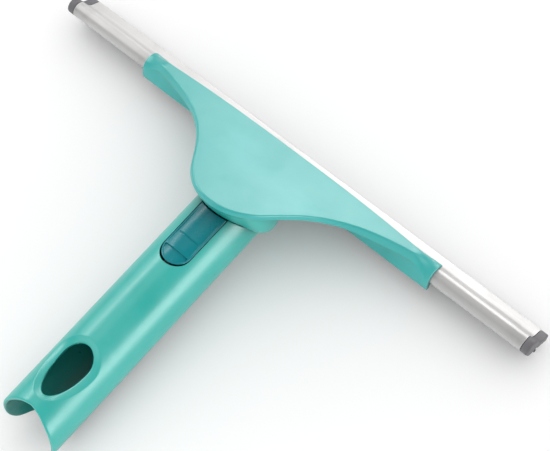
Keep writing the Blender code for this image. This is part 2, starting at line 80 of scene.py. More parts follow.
# open end of the tube: (angle from the top, Y), the same on both sides
MOUTH = [(0, -133.0), (20, -134.1), (40, -136.1), (60, -138.0), (80, -139.8), (100, -141.2), (112, -141.4),
         (122, -140.6), (130, -139.0), (136, -136.6), (141, -134.0), (147, -131.6), (155, -130.1), (165, -129.5),
         (180, -129.3)]
HOLE_Y, HOLE_W, HOLE_UP, HOLE_DOWN = -107.0, 9.0, 9.4, 18.9
SPIGOT_R, SPIGOT_BORE, SPIGOT_END, SLOT_W = 13.9, 11.4, -78.0, 8.0
BTN_W, BTN_ROUND_Y, BTN_UNDER = 7.55, -39.6, 11.2
PIVOT_Y, PIVOT_Z, PIN_R, PIN_HALF = -21.0, 9.5, 1.0, 9.1
CATCH_Y0, CATCH_Y1 = -53.6, -50.2

# the same rest position that the part computes
lip_c, lip_s = math.cos(math.radians(LIP_ANGLE)), math.sin(math.radians(LIP_ANGLE))
edge_s = B[0] + lip_c * LIP_REACH + lip_s * TIP
edge_n = B[1] + lip_s * LIP_REACH - lip_c * TIP
hc, hs = math.cos(math.radians(HEAD_ANGLE)), math.sin(math.radians(HEAD_ANGLE))
REST_TILT = math.atan2(-TUBE_R - (HEAD_HEIGHT - edge_s * hs + edge_n * hc), edge_s * hc + edge_n * hs - MOUTH[-1][1])
ORIGIN_Z = -(MOUTH[-1][1] * math.sin(REST_TILT) - TUBE_R * math.cos(REST_TILT))
HANDLE = Matrix.Translation(Vector((0, ORIGIN_Y, ORIGIN_Z)) * MM) @ Matrix.Rotation(REST_TILT, 4, "X")
HEAD = HANDLE @ Matrix.Translation((0, 0, HEAD_HEIGHT * MM)) @ Matrix.Rotation(-math.radians(HEAD_ANGLE), 4, "X")


# ------------------------------------------------------------------ helpers
def build(name, shape, space, mat=None):
    """A piece from (verts in mm in `space`, faces); its mesh is kept in world coordinates."""
    verts, faces = shape
    me = bpy.data.meshes.new(name)
    me.from_pydata([space @ (Vector(v) * MM) for v in verts], [], faces)
    bm = bmesh.new()
    bm.from_mesh(me)
    bmesh.ops.recalc_face_normals(bm, faces=bm.faces)
    bm.to_mesh(me)
    bm.free()
    o = bpy.data.objects.new(name, me)
    bpy.context.scene.collection.objects.link(o)
    if mat:
        me.materials.append(mat)
    return o


def loft(rings, closed=False, caps=True):
    k = len(rings[0])
    verts = [p for ring in rings for p in ring]
    faces = []
    n = len(rings)
    for i in range(n if closed else n - 1):
        a, b = i * k, ((i + 1) % n) * k
        for j in range(k):
            faces.append((a + j, a + (j + 1) % k, b + (j + 1) % k, b + j))
    if not closed and caps:
        faces.append(tuple(range(k))[::-1])
        faces.append(tuple(range((n - 1) * k, n * k)))
    return verts, faces


def prism(outline, lo, hi, axis):
    if axis == "x":
        return loft([[(v, p[0], p[1]) for p in outline] for v in (lo, hi)])
    return loft([[(p[0], p[1], v) for p in outline] for v in (lo, hi)])


def block(x0, x1, y0, y1, z0, z1):
    return loft([[(x0, y0, z), (x1, y0, z), (x1, y1, z), (x0, y1, z)] for z in (z0, z1)])


def rod_z(cx, cy, r, z0, z1, seg=64):
    return loft([[(cx + r * math.cos(a), cy + r * math.sin(a), z)
                  for a in (2 * math.pi * i / seg for i in range(seg))] for z in (z0, z1)])


def rod_x(cy, cz, r, x0, x1, seg=48):
    return loft([[(x, cy + r * math.cos(a), cz + r * math.sin(a))
                  for a in (2 * math.pi * i / seg for i in range(seg))] for x in (x0, x1)])


def turned(profile, axis, centre, seg=72):
    """A closed body of revolution from (radius, height) points along 'x', 'y' or 'z'."""
    rings = []
    for r, h in profile:
        ring = []
        for i in range(seg):
            a = 2 * math.pi * i / seg
            u, v = r * math.cos(a), r * math.sin(a)
            p = {"x": (h, u, v), "y": (u, h, v), "z": (u, v, h)}[axis]
            ring.append(tuple(c + q for c, q in zip(centre, p)))
        rings.append(ring)
    return loft(rings)


def combine(target, shape, how, space):
    helper = build("helper", shape, space)
    mod = target.modifiers.new("shape", "BOOLEAN")
    mod.operation = how
    mod.solver = "EXACT"
    mod.object = helper
    bpy.context.view_layer.update()
    dg = bpy.context.evaluated_depsgraph_get()
    result = bpy.data.meshes.new_from_object(target.evaluated_get(dg))
    target.modifiers.remove(mod)
    old, name = target.data, target.data.name
    target.data = result
    bpy.data.meshes.remove(old)
    result.name = name
    data = helper.data
    bpy.data.objects.remove(helper, do_unlink=True)
    bpy.data.meshes.remove(data)
    bm = bmesh.new()
    bm.from_mesh(target.data)
    bmesh.ops.remove_doubles(bm, verts=bm.verts, dist=1e-6)
    bmesh.ops.dissolve_degenerate(bm, edges=bm.edges, dist=5e-7)
    bm.to_mesh(target.data)
    bm.free()


def finish(o, body, node, angle=38.0):
    o.data.shade_smooth()
    o.data.set_sharp_from_angle(angle=math.radians(angle))
    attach(o, body)
    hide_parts(node)


def polar(c, r, deg):
    return (c[0] + r * math.cos(math.radians(deg)), c[1] + r * math.sin(math.radians(deg)))


def arc(c, r, a0, a1, steps):
    return [polar(c, r, a0 + (a1 - a0) * i / steps) for i in range(steps + 1)]


def bezier(p0, p1, p2, steps):
    return [tuple((1 - t) ** 2 * a + 2 * t * (1 - t) * b + t * t * c
                  for a, b, c in zip(p0, p1, p2)) for t in (i / steps for i in range(1, steps))]


def smooth_line(points, per):
    out = []
    for i in range(len(points) - 1):
        p0 = Vector(points[max(i - 1, 0)])
        p1, p2 = Vector(points[i]), Vector(points[i + 1])
        p3 = Vector(points[min(i + 2, len(points) - 1)])
        for k in range(per):
            t = k / per
            out.append(tuple(0.5 * (2 * p1 + (p2 - p0) * t + (2 * p0 - 5 * p1 + 4 * p2 - p3) * t * t
                                    + (3 * p1 - p0 - 3 * p2 + p3) * t ** 3)))
    out.append(tuple(points[-1]))
    return out


def ease(a, b, x):
    t = min(max((x - a) / (b - a), 0.0), 1.0)
    return t * t * (3 - 2 * t)


def drop(d, e):
    """How far a surface has fallen at distance d from an edge rounded with radius e."""
    return 0.0 if d >= e else e - math.sqrt(max(e * e - (e - d) ** 2, 0.0))


def rounded(points, radii, steps=3):
    """Closed outline with the listed corners rounded; radii: {index: radius}."""
    out, n = [], len(points)
    for i, p in enumerate(points):
        r = radii.get(i, 0.0)
        if r <= 0:
            out.append(p)
            continue
        p, a, b = Vector(p), Vector(points[i - 1]), Vector(points[(i + 1) % n])
        ra, rb = min(r, 0.45 * (a - p).length), min(r, 0.45 * (b - p).length)
        q0, q1 = p + (a - p).normalized() * ra, p + (b - p).normalized() * rb
        out += [tuple((1 - t) ** 2 * q0 + 2 * t * (1 - t) * p + t * t * q1)
                for t in (k / steps for k in range(steps + 1))]
    return out


def shrunk(points, by):
    """Closed outline moved inwards by a small amount (mitred)."""
    n = len(points)
    area = sum(points[i][0] * points[(i + 1) % n][1] - points[(i + 1) % n][0] * points[i][1] for i in range(n))
    sign = 1.0 if area > 0 else -1.0
    out = []
    for i, p in enumerate(points):
        p, a, b = Vector(p), Vector(points[i - 1]), Vector(points[(i + 1) % n])
        e0 = (p - a).normalized() if (p - a).length > 1e-9 else (b - p).normalized()
        e1 = (b - p).normalized() if (b - p).length > 1e-9 else e0
        n0, n1 = Vector((-e0.y, e0.x)) * sign, Vector((-e1.y, e1.x)) * sign
        m = n0 + n1
        m = m / max(m.length_squared / 2, 0.5)
        out.append(tuple(p + m * by))
    return out


# ---------------------------------------------------------------- materials
def nodes_of(mat):
    mat.use_nodes = True
    nt = mat.node_tree
    return nt, nt.nodes, nt.links, nt.nodes["Principled BSDF"]


def rgb(r, g, b):
    """sRGB 0..255 to linear."""
    f = lambda c: c / 12.92 if c <= 0.04045 else ((c + 0.055) / 1.055) ** 2.4
    return tuple(f(v / 255) for v in (r, g, b)) + (1.0,)


def noise_node(N, L, coords, scale, detail=3.0, rough=0.55, distortion=0.0):
    n = N.new("ShaderNodeTexNoise")
    n.inputs["Scale"].default_value = scale
    n.inputs["Detail"].default_value = detail
    n.inputs["Roughness"].default_value = rough
    n.inputs["Distortion"].default_value = distortion
    L.new(coords, n.inputs["Vector"])
    return n.outputs["Fac"]


def ramp(N, L, fac, stops):
    r = N.new("ShaderNodeValToRGB")
    r.color_ramp.interpolation = "EASE"
    while len(r.color_ramp.elements) < len(stops):
        r.color_ramp.elements.new(0.5)
    for e, (pos, col) in zip(r.color_ramp.elements, stops):
        e.position = pos
        e.color = col
    L.new(fac, r.inputs["Fac"])
    return r.outputs["Color"]


def span(N, L, value, a, b, c, d):
    m = N.new("ShaderNodeMapRange")
    for k, v in zip(("From Min", "From Max", "To Min", "To Max"), (a, b, c, d)):
        m.inputs[k].default_value = v
    L.new(value, m.inputs["Value"])
    return m.outputs["Result"]


def mix(N, L, fac, a, b):
    m = N.new("ShaderNodeMix")
    m.data_type = "RGBA"
    if isinstance(fac, float):
        m.inputs[0].default_value = fac
    else:
        L.new(fac, m.inputs[0])
    for v, i in ((a, 6), (b, 7)):
        if isinstance(v, tuple):
            m.inputs[i].default_value = v
        else:
            L.new(v, m.inputs[i])
    return m.outputs[2]


def bumps(N, L, layers):
    """Chained bump nodes; layers: (height socket, strength, distance in m)."""
    last = None
    for h, s, dist in layers:
        b = N.new("ShaderNodeBump")
        b.inputs["Strength"].default_value = s
        b.inputs["Distance"].default_value = dist
        L.new(h, b.inputs["Height"])
        if last:
            L.new(last, b.inputs["Normal"])
        last = b.outputs["Normal"]
    return last


def moulded(name, deep, mid, light, edge, painted_shade, rough, gloss=0.5, sub=0.0, coat=0.0, rub_and_highlight_at=0.56):
    """Injection moulded plastic: cloudy colour, faint flow lines, pearly grain, paler edges (rubbed wear plus a
    painted highlight), painted shade in occluded places and on inner skins.
    """
    mat = bpy.data.materials.new(name)
    nt, N, L, P = nodes_of(mat)
    tc = N.new("ShaderNodeTexCoord")
    co = tc.outputs["Object"]
    cloud = noise_node(N, L, co, 26.0, 4.0, 0.6)
    base = ramp(N, L, cloud, [(0.30, deep), (0.52, mid), (0.74, light)])
    stretch = N.new("ShaderNodeMapping")
    stretch.inputs["Scale"].default_value = (1.0, 0.16, 0.5)
    L.new(co, stretch.inputs["Vector"])
    flow = noise_node(N, L, stretch.outputs["Vector"], 190.0, 3.0, 0.6)
    base = mix(N, L, span(N, L, flow, 0.35, 0.75, 0.0, 0.10), base, light)
    geo = N.new("ShaderNodeNewGeometry")
    # paler edges from pointiness: partly rubbed wear, partly a painted highlight line along sharp rims (the mint
    # plate's low threshold draws its rim line)
    rub_and_highlight = span(N, L, geo.outputs["Pointiness"], rub_and_highlight_at, rub_and_highlight_at + 0.1, 0.0, 0.6)
    spots = noise_node(N, L, co, 420.0, 3.0, 0.7)
    wear_and_highlight = N.new("ShaderNodeMath")
    wear_and_highlight.operation = "MULTIPLY"
    L.new(rub_and_highlight, wear_and_highlight.inputs[0])
    L.new(span(N, L, spots, 0.35, 0.65, 0.45, 1.0), wear_and_highlight.inputs[1])
    base = mix(N, L, wear_and_highlight.outputs[0], base, edge)
    # painted shade: occluded places (crevices, the pocket under the rim, the leaf) are mixed towards a dark shade
    # colour
    ao = N.new("ShaderNodeAmbientOcclusion")
    ao.samples = 8
    ao.inputs["Distance"].default_value = 0.020
    base = mix(N, L, span(N, L, ao.outputs["AO"], 0.22, 0.95, 1.0, 0.0), base, painted_shade)
    # painted shade: vertices weighted by the mesh attribute (the tube's inner skin) are mixed half way to the shade
    # colour
    inside = N.new("ShaderNodeAttribute")       # inner skins are marked on the mesh
    inside.attribute_name = "inside"
    base = mix(N, L, span(N, L, inside.outputs["Fac"], 0.2, 0.8, 0.0, 0.50), base, painted_shade)
    L.new(base, P.inputs["Base Color"])
    grain = noise_node(N, L, co, 1500.0, 2.0, 0.5)
    ripple = noise_node(N, L, co, 70.0, 2.0, 0.5)
    smear = noise_node(N, L, co, 48.0, 5.0, 0.65)
    L.new(span(N, L, smear, 0.3, 0.7, rough - 0.05, rough + 0.08), P.inputs["Roughness"])
    L.new(bumps(N, L, [(ripple, 0.10, 0.0004), (flow, 0.05, 0.0002), (grain, 0.10, 0.00006)]),
          P.inputs["Normal"])
    P.inputs["Specular IOR Level"].default_value = gloss
    P.inputs["IOR"].default_value = 1.49
    if sub:
        P.inputs["Subsurface Weight"].default_value = sub
        P.inputs["Subsurface Radius"].default_value = (0.5, 1.0, 0.9)
        P.inputs["Subsurface Scale"].default_value = 0.0012
    if coat:
        P.inputs["Coat Weight"].default_value = coat
        P.inputs["Coat Roughness"].default_value = 0.12
    return mat


def metal(name, dark, light, rough, along, line_scale, bump=0.12, bare=1.0):
    """Drawn or ground metal: fine lines along one axis, faint stains and scratches."""
    mat = bpy.data.materials.new(name)
    nt, N, L, P = nodes_of(mat)
    co = N.new("ShaderNodeTexCoord").outputs["Object"]
    lines = N.new("ShaderNodeMapping")
    lines.inputs["Scale"].default_value = tuple(0.01 if c == along else 1.0 for c in "xyz")
    L.new(co, lines.inputs["Vector"])
    drawn = noise_node(N, L, lines.outputs["Vector"], line_scale, 3.0, 0.7)
    cloud = noise_node(N, L, co, 34.0, 4.0, 0.6, 0.5)
    base = ramp(N, L, cloud, [(0.25, dark), (0.55, light), (0.8, light)])
    base = mix(N, L, span(N, L, drawn, 0.35, 0.7, 0.0, 0.35), base, dark)
    L.new(base, P.inputs["Base Color"])
    P.inputs["Metallic"].default_value = bare
    L.new(span(N, L, drawn, 0.3, 0.7, rough - 0.05, rough + 0.09), P.inputs["Roughness"])
    fine = noise_node(N, L, co, 1300.0, 2.0, 0.5)
    L.new(bumps(N, L, [(drawn, bump, 0.00008), (fine, 0.05, 0.00003)]), P.inputs["Normal"])
    return mat


def rubbery(name, dark, light):
    """Black rubber: bloom, dust in the pores and a finely ground face."""
    mat = bpy.data.materials.new(name)
    nt, N, L, P = nodes_of(mat)
    co = N.new("ShaderNodeTexCoord").outputs["Object"]
    bloom = noise_node(N, L, co, 55.0, 5.0, 0.65, 0.6)
    base = ramp(N, L, bloom, [(0.3, dark), (0.75, light)])
    L.new(base, P.inputs["Base Color"])
    L.new(span(N, L, bloom, 0.3, 0.7, 0.48, 0.68), P.inputs["Roughness"])
    pores = noise_node(N, L, co, 1700.0, 2.0, 0.6)
    L.new(bumps(N, L, [(pores, 0.22, 0.00005)]), P.inputs["Normal"])
    P.inputs["Specular IOR Level"].default_value = 0.35
    return mat


def textured(name, dark, mid, light, rough):
    """Spark-eroded grey plastic: an even fine pebble grain with dust on the edges."""
    mat = bpy.data.materials.new(name)
    nt, N, L, P = nodes_of(mat)
    co = N.new("ShaderNodeTexCoord").outputs["Object"]
    cloud = noise_node(N, L, co, 70.0, 4.0, 0.6)
    base = ramp(N, L, cloud, [(0.3, dark), (0.55, mid), (0.8, light)])
    geo = N.new("ShaderNodeNewGeometry")
    base = mix(N, L, span(N, L, geo.outputs["Pointiness"], 0.51, 0.60, 0.0, 0.45), base, light)
    L.new(base, P.inputs["Base Color"])
    pebble = N.new("ShaderNodeTexVoronoi")
    pebble.feature = "SMOOTH_F1"
    pebble.inputs["Scale"].default_value = 1900.0
    L.new(co, pebble.inputs["Vector"])
    L.new(bumps(N, L, [(pebble.outputs["Distance"], 0.25, 0.00005)]), P.inputs["Normal"])
    L.new(span(N, L, cloud, 0.3, 0.7, rough - 0.05, rough + 0.08), P.inputs["Roughness"])
    P.inputs["Specular IOR Level"].default_value = 0.4
    return mat


# colours: deep, mid and light tones, then the pale edge colour (wear and painted highlight) and the painted shade
# colour for occluded places and inner skins
MINT = moulded("mint_plastic_moulded", rgb(36, 168, 163), rgb(42, 173, 169), rgb(56, 180, 177),
               rgb(186, 234, 230), rgb(0, 78, 70), 0.34, 0.8, 0.06, rub_and_highlight_at=0.515)
GREEN = moulded("turquoise_plastic_moulded", rgb(34, 174, 163), rgb(42, 179, 169), rgb(54, 185, 176),
                rgb(150, 224, 214), rgb(0, 58, 52), 0.31, 0.85, 0.06)
PETROL = moulded("petrol_plastic_moulded", rgb(0, 120, 129), rgb(0, 127, 136), rgb(8, 134, 143),
                 rgb(90, 175, 182), rgb(0, 40, 46), 0.26, 0.32, 0.0)
ALU = metal("satin_aluminium_drawn", rgb(182, 181, 180), rgb(200, 199, 198), 0.45, "x", 1500.0, bare=0.5)
STEEL = metal("spring_steel_ground", rgb(150, 151, 153), rgb(196, 196, 198), 0.28, "y", 900.0)
RUBBER = rubbery("black_rubber_ground", rgb(16, 16, 15), rgb(34, 34, 33))
GREY = textured("grey_plastic_eroded", rgb(92, 90, 94), rgb(104, 102, 106), rgb(124, 122, 126), 0.5)


# --------------------------------------------------------------------- rail
def rail_top(fine):
    edge = 0.5
    pts = arc((FLANGE_FAR - edge, FLANGE_BOTTOM + edge), edge, -90, 0, 2 * fine)
    pts += arc((FLANGE_FAR - edge, FLANGE_TOP - edge), edge, 0, 90, 2 * fine)
    start = polar(B, BEAD_R, 45)
    knee = (start[0] + (start[1] - FLANGE_TOP), FLANGE_TOP)
    pts += [(51.0, FLANGE_TOP)] + bezier((51.0, FLANGE_TOP), knee, start, 5 * fine)
    pts += arc(B, BEAD_R, 45, MOUTH_LOW, 22 * fine)
    return pts


section = rail_top(4)
n_outer = len(section)
section += arc(B, BEAD_BORE, MOUTH_LOW, MOUTH_HIGH - 360, 48)
n_inner = len(section)
section += [(47.1, -12.0), (FLANGE_NEAR, FLANGE_BOTTOM)]
section = rounded(section, {n_outer - 1: 0.35, n_outer: 0.3, n_inner - 1: 0.3, n_inner: 0.5,
                            n_inner + 1: 0.35}, 4)
half = RAIL_LENGTH / 2
rail_rings = []
for x, e in ((-half, 0.06), (-half + 0.06, 0.0), (half - 0.06, 0.0), (half, 0.06)):
    rail_rings.append([(x, p[0], p[1]) for p in shrunk(section, e)])
rail = build("aluminium_rail_extrusion", loft(rail_rings), HEAD, ALU)
HOLLOW = (49.3, 55.6, -12.8, -11.1)
hollow = rounded([(HOLLOW[0], HOLLOW[2]), (HOLLOW[1], HOLLOW[2]), (HOLLOW[1], HOLLOW[3]), (HOLLOW[0], HOLLOW[3])],
                 {0: 0.4, 1: 0.4, 2: 0.4, 3: 0.4}, 4)
combine(rail, prism(hollow, -RAIL_LENGTH, RAIL_LENGTH, "x"), "DIFFERENCE", HEAD)
finish(rail, "head", "aluminium_rail")

# ------------------------------------------------------------- rubber blade
d_ = (math.cos(math.radians(LIP_ANGLE)), math.sin(math.radians(LIP_ANGLE)))
q_ = (-d_[1], d_[0])


def lip(t, w):
    return (B[0] + d_[0] * t + q_[0] * w, B[1] + d_[1] * t + q_[1] * w)


a_neck = math.degrees(math.asin(NECK / BULB_R))
blade_section = arc(B, BULB_R, LIP_ANGLE + a_neck, LIP_ANGLE + 360 - a_neck, 60)
nb = len(blade_section)
blade_section += [lip(6.0, -NECK), lip(11.0, -0.95), lip(LIP_REACH, -TIP),
                  lip(LIP_REACH, TIP), lip(11.0, 0.95), lip(6.0, NECK)]
blade_section = rounded(blade_section, {nb + 2: 0.2, nb + 3: 0.2}, 4)
lo = half - GAP
rings = [[(x, p[0], p[1]) for p in shrunk(blade_section, e)]
         for x, e in ((-lo, 0.06), (-lo + 0.06, 0.0), (lo - 0.06, 0.0), (lo, 0.06))]
blade = build("rubber_blade_strip", loft(rings), HEAD, RUBBER)
lip_section = rounded([lip(7.2, -0.9), lip(11.0, -0.95), lip(LIP_REACH, -TIP), lip(LIP_REACH, TIP),
                       lip(11.0, 0.95), lip(7.2, 0.9)], {0: 0.2, 2: 0.2, 3: 0.2, 5: 0.2}, 4)
xl = half + LIP_OVERHANG
rings = [[(x, p[0], p[1]) for p in shrunk(lip_section, e)]
         for x, e in ((-xl, 0.07), (-xl + 0.07, 0.0), (xl - 0.07, 0.0), (xl, 0.07))]
combine(blade, loft(rings), "UNION", HEAD)
finish(blade, "head", "rubber_blade")

# ----------------------------------------------------------------- end caps
cap_section = rail_top(4)
nc = len(cap_section)
cap_section += [(45.2, -11.9), (47.1, -12.1), (FLANGE_NEAR, FLANGE_BOTTOM)]
cap_section = [(B[0] + (p[0] - B[0]) * 0.985, p[1]) for p in cap_section]
cap_section = rounded(cap_section, {nc - 1: 0.5, nc: 0.6, nc + 1: 0.8, nc + 2: 0.5}, 5)
for side, name in ((-1, "end_cap_left"), (1, "end_cap_right")):
    x0 = side * (half + GAP)
    rings = []
    for t, e in ((0.0, 0.12), (0.04, 0.04), (0.14, 0.0), (3.1, 0.0), (3.35, 0.03), (3.6, 0.12),
                 (3.8, 0.26), (3.93, 0.42), (4.0, 0.62)):
        ring = []
        for p in cap_section:
            v = Vector((p[0] - 47.5, p[1] + 10.6))
            v *= max(0.0, 1 - e / max(v.length, 1.0))
            ring.append((x0 + side * t, 47.5 + v.x, -10.6 + v.y))
        rings.append(ring)
    cap = build(name + "_moulding", loft(rings), HEAD, GREY)
    px = sorted((x0 + side * 0.5, side * (half - CAP_PLUG)))
    combine(cap, block(px[0], px[1], HOLLOW[0] + GAP, HOLLOW[1] - GAP, HOLLOW[2] + GAP, HOLLOW[3] - GAP),
            "UNION", HEAD)
    finish(cap, "head", name)

# --------------------------------------------------------------- head plate
FLANK = [(16.9, -10.6), (19.3, -8.0), (21.5, -5.0), (23.5, -1.9), (25.5, 1.1), (28.9, 6.1), (32.4, 10.6),
         (36.4, 15.0), (40.5, 18.7), (45.3, 22.3), (49.5, 25.0), (54.5, 27.7), (58.7, 29.5), (63.0, 31.1),
         (68.4, 32.8), (72.5, 33.9), (76.5, 34.8), (80.5, 35.5), (85.0, 36.0), (CLIP_X + 2, 36.4)]
_arc = arc((0, ROUND_S), ROUND_R, -90, ROUND_LEAVE, 60)
REAR = _arc + smooth_line([_arc[-1]] + FLANK, 10)[1:]
# the line is smoothed along its length, so that the highlight on it runs clean
for _ in range(10):
    REAR = [REAR[0]] + [tuple((a + 2 * b + c) / 4 for a, b, c in zip(REAR[i - 1], REAR[i], REAR[i + 1]))
                        for i in range(1, len(REAR) - 1)] + [REAR[-1]]
REAR_CACHE = {}


def rear(x, dist=0.0):
    if dist not in REAR_CACHE:
        line = []
        for i, p in enumerate(REAR):
            q0, q1 = Vector(REAR[max(i - 1, 0)]), Vector(REAR[min(i + 1, len(REAR) - 1)])
            t = (q1 - q0).normalized() if i else Vector((1, 0))
            line.append((p[0] + t.y * dist, p[1] - t.x * dist))
        REAR_CACHE[dist] = line
    line = REAR_CACHE[dist]
    x = abs(x)
    for (x0, s0), (x1, s1) in zip(line, line[1:]):
        if x <= x1:
            return s0 + (s1 - s0) * (x - x0) / max(x1 - x0, 1e-9)
    return line[-1][1]


def front(x):
    return FRONT_S - FRONT_BOW * (abs(x) / 84.0) ** 2.6


def rim_depth(x):
    return RIM + (RIM_TIP - RIM) * ease(34.0, 66.0, abs(x))


LOWER = (37.3, -15.9)
N_ROUND, N_LEAF, N_IN = 10, 22, 56


def plate_section(x):
    ax = abs(x)
    w = ease(TIP_X, CLIP_X, ax)
    f = front(x)
    lip_in = polar(B, BEAD_R + GAP, 52)
    pts = [lip_in, (44.5, -4.9), (f + 0.5, -0.5), (f, 0.0)]
    ends = [lip_in] + [polar(B, CLIP_R, a) for a in (52, 78, 92)]
    for i in range(N_ROUND + 1):
        a = math.pi / 2 * i / N_ROUND
        pts.append((rear(x, round(EDGE * math.sin(a), 4)), -EDGE * (1 - math.cos(a))))
        ends.append(polar(B, CLIP_R, 108 + 44 * i / N_ROUND))
    depth = rim_depth(x)
    foot = (rear(x, EDGE), -depth)
    i_foot = len(pts)
    pts.append(foot)
    ends.append(polar(B, CLIP_R, 176))
    mid = Vector(((foot[0] + LOWER[0]) / 2, (foot[1] + LOWER[1]) / 2))
    chord = (Vector(LOWER) - Vector(foot)).normalized()
    sag = max(0.0, min(2.4, (mid - Vector(B)).length - BEAD_R - GAP - 0.85))
    leaf = mid + 2 * sag * Vector((-chord.y, chord.x))
    corner = Vector((35.4, -depth - 0.3))
    ctrl = corner.lerp(leaf, ease(38.0, 52.0, ax))
    # the leaf starts in a shallow pocket behind the rim's lower edge
    room = max(0.0, (Vector(foot) - Vector(B)).length - BEAD_R - GAP - 1.5)
    ledge = min(1.5, 0.38 * room) * ease(41.0, 50.0, ax)
    g = ease(41.0, 50.0, ax) * (1 - ease(68.0, 80.0, ax))
    pts += [(foot[0] + 0.75 * g + ledge * 0.3, foot[1] + 0.95 * g), (foot[0] + ledge + 0.35 * g, foot[1] - 0.08 - 0.10 * g)]
    pts += bezier(pts[-1], tuple(Vector(ctrl) + Vector((ledge * 0.30, 0))), LOWER, N_LEAF - 2)
    ends += bezier(polar(B, CLIP_R, 176), polar(B, CLIP_R + 0.35, 196), LOWER, N_LEAF)
    i_low = len(pts)
    for p in (LOWER, (38.1, -16.7), (39.9, -16.3)):
        pts.append(p)
        ends.append(p)
    for i in range(N_IN):
        p = polar(B, BEAD_R + GAP, 252 - (252 - 52) * i / N_IN)
        pts.append(p)
        ends.append(p)
    pts = [((1 - w) * p[0] + w * e[0], (1 - w) * p[1] + w * e[1]) for p, e in zip(pts, ends)]
    return rounded(pts, {0: 0.25, 1: 0.8, 2: 0.3, 3: 0.32, i_foot: 0.32, i_low: 0.5, i_low + 1: 0.35,
                         i_low + 2: 0.3, i_low + 3: 0.2}, 4)


right = [0.0]
while right[-1] < CLIP_X - 0.7:
    x = right[-1]
    right.append(x + (0.45 if 12 < x < 26 else 0.8))
right = right[:-1]
tail = [(CLIP_X - 0.36, 0.0), (CLIP_X - 0.18, 0.05), (CLIP_X - 0.06, 0.15), (CLIP_X, 0.30)]


def end_section(x, e):
    """The section with its outer side drawn in towards the bead, for the rounded end face."""
    out = []
    for p in plate_section(x):
        v = Vector(p) - Vector(B)
        near = min(max((v.length - BEAD_R - GAP) / 0.9, 0.0), 1.0)
        out.append(tuple(Vector(B) + v * (1 - e * near / v.length)))
    return out


stations = [(x, 0.0) for x in right] + tail
stations = [(-x, e) for x, e in stations[:0:-1]] + stations
rings = [[(x, p[0], p[1]) for p in (end_section(x, e) if e else plate_section(x))] for x, e in stations]
plate = build("head_plate_moulding", loft(rings), HEAD, MINT)


def rear_outline(dist, x_end, front_s):
    xs = [-x_end] + [x for x, e in stations if abs(x) < x_end] + [x_end]
    return [(x, rear(x, dist)) for x in xs] + [(x_end, front_s), (-x_end, front_s)]


combine(plate, loft([[(x, y, z) for x, y in rear_outline(EDGE - WALL, 43.0, 34.4)] for z in (-30.0, -TOP)]),
        "DIFFERENCE", HEAD)
for sx in (-1, 1):
    combine(plate, rod_z(sx * SCREW_X, SCREW_S, 2.8, -8.6, -TOP + 0.5), "UNION", HEAD)
    combine(plate, rod_z(sx * SCREW_X, SCREW_S, 1.6, -9.5, -3.0, 40), "DIFFERENCE", HEAD)
finish(plate, "head", "head_plate", 42)


# --------------------------------------------------------------- neck spigot
def seam_y(z):
    return SEAM_Y + SEAM_SLOPE * (TUBE_R - z)


def to_head(x, y, z):
    a = math.radians(HEAD_ANGLE)
    z -= HEAD_HEIGHT
    return Vector((x, y * math.cos(a) - z * math.sin(a), y * math.sin(a) + z * math.cos(a)))


def bowl_ring(f):
    deg = abs(math.degrees(f))
    deg = min(deg, 360 - deg)
    r = BOWL_REAR + (BOWL_SIDE - BOWL_REAR) * ease(40, 84, deg) - (BOWL_SIDE - BOWL_FRONT) * ease(96, 160, deg)
    return r * math.sin(f), ROUND_S - r * math.cos(f)


BOWL_TOP, BOWL_SEG = -RIM - GAP, 192
bowl = []
profile = [(0.0, 0.5), (0.0, 0.2), (0.0, 0.0)] + [(k / 30, 0.0) for k in range(2, 29)] + [(1.0, 0.0), (1.0, 0.12), (1.0, 0.4)]
for t, inset in profile:
    a = math.pi / 2 * t
    ring = []
    for i in range(BOWL_SEG):
        f = 2 * math.pi * i / BOWL_SEG
        x, y = bowl_ring(f)
        yc, zc = seam_y(TUBE_R * math.cos(f)) + GAP, TUBE_R * math.cos(f)
        foot = to_head(TUBE_R * math.sin(f), yc, zc)
        deg = min(abs(math.degrees(f)), 360 - abs(math.degrees(f)))
        power = 2 / (1.05 + 1.95 * ease(45, 85, deg))
        side, fall = 1 - math.cos(a) ** power, math.sin(a) ** power
        z0 = BOWL_TOP - 0.25
        p = Vector((x + (foot.x - x) * side, y + (foot.y - y) * side, z0 + (foot.z - z0) * fall))
        if t == 0.0:
            p.x *= 1 - inset / 22
            p.y = ROUND_S + (p.y - ROUND_S) * (1 - inset / 22)
            p.z += {0.5: 0.25, 0.2: 0.19, 0.0: 0.0}[inset]
        if t == 1.0:
            axis = to_head(0, yc, 0)
            p = foot + (axis - foot) * inset / TUBE_R
            p += (to_head(0, 1, 0) - to_head(0, 0, 0)) * {0.0: 0.12, 0.12: 0.03, 0.4: 0.0}[inset] * (1 - ease(125, 150, deg))
        ring.append(tuple(p))
    bowl.append(ring)
neck = build("neck_spigot_moulding", loft(bowl), HEAD, GREEN)
combine(neck, block(-22.5, 22.5, 0.0, 33.8, -4.9, -TOP - GAP), "UNION", HEAD)
for sx in (-1, 1):
    combine(neck, rod_z(sx * SCREW_X, SCREW_S, 4.6, -8.6, -4.0), "UNION", HEAD)
    combine(neck, rod_z(sx * SCREW_X, SCREW_S, 3.1, -9.5, 0.0), "DIFFERENCE", HEAD)
    combine(neck, block(sx * 9 - 0.8, sx * 9 + 0.8, 14.0, 33.4, -8.4, -4.5), "UNION", HEAD)
    combine(neck, block(sx * 21.6 - 0.8, sx * 21.6 + 0.8, 6.0, 33.4, -7.0, -4.5), "UNION", HEAD)
end = SPIGOT_END
spigot = [(SPIGOT_R - 0.8, end), (SPIGOT_R - 0.45, end + 0.1), (SPIGOT_R - 0.15, end + 0.4), (SPIGOT_R, end + 0.9),
          (SPIGOT_R, -1.0)]
